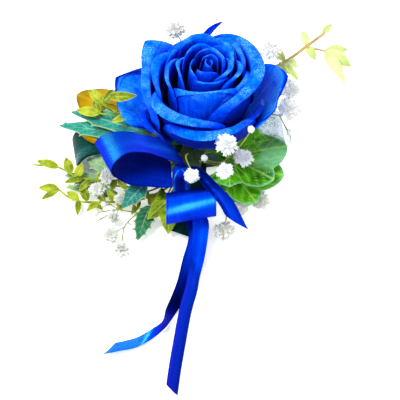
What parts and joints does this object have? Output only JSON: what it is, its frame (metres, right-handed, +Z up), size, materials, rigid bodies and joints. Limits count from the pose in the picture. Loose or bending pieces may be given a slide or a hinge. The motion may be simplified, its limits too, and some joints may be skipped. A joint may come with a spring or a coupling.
{
  "type": "rose wrist corsage",
  "caption": "Wrist corsage: a layered blue rose with a satin bow and hanging tails, leaves, sprigs and small white flowers on a satin wristband.",
  "frame": {"origin": "middle of the wristband's flat underside, where the corsage rests", "axes": "X along the long way of the wristband, -Y towards the hanging ribbon tails, +Z up out of the rose"},
  "size_m": [0.1591, 0.1995, 0.0812],
  "materials": {
    "green_satin": "satin",
    "floral_tape": "matt wrapped tape",
    "calyx_green": "leafy",
    "rose_petal": "soft petal",
    "blue_satin": "satin",
    "teal_leaf": "leafy",
    "golden_leaf": "leafy",
    "pale_leaf": "leafy",
    "green_leaf": "leafy",
    "ivy_green": "leafy",
    "light_sprig": "leafy",
    "pale_sprig": "leafy",
    "babys_breath": "soft petal"
  },
  "bodies": {
    "root": {"wristband": "green_satin", "wristband_tie_end": "green_satin", "stem_bundle": "floral_tape", "rose_calyx": "calyx_green", "rose_bloom": "rose_petal", "bow_knot": "blue_satin", "bow_loop_left": "blue_satin", "bow_loop_lower": "blue_satin", "bow_tail_right": "blue_satin", "ribbon_tail_long": "blue_satin", "ribbon_tail_curved": "blue_satin", "holly_leaf_upper": "teal_leaf", "holly_leaf_outer": "teal_leaf", "golden_leaf": "golden_leaf", "pale_leaf_upper": "pale_leaf", "pale_leaf_middle": "pale_leaf", "pale_leaf_lower": "pale_leaf", "blue_leaf": "teal_leaf", "green_leaf": "green_leaf", "ivy_leaf_bottom": "ivy_green", "ivy_leaf_right_upper": "ivy_green", "ivy_leaf_right_lower": "ivy_green", "ivy_leaf_right_small": "ivy_green", "sprig_upper_left": "light_sprig", "sprig_left_upper": "light_sprig", "sprig_left_lower": "light_sprig", "sprig_upper_right": "pale_sprig", "babys_breath_back": "babys_breath", "babys_breath_right": "babys_breath", "babys_breath_front": "babys_breath", "babys_breath_knot": "babys_breath", "babys_breath_right_low": "babys_breath", "babys_breath_left_low": "babys_breath"}
  },
  "joints": []
}
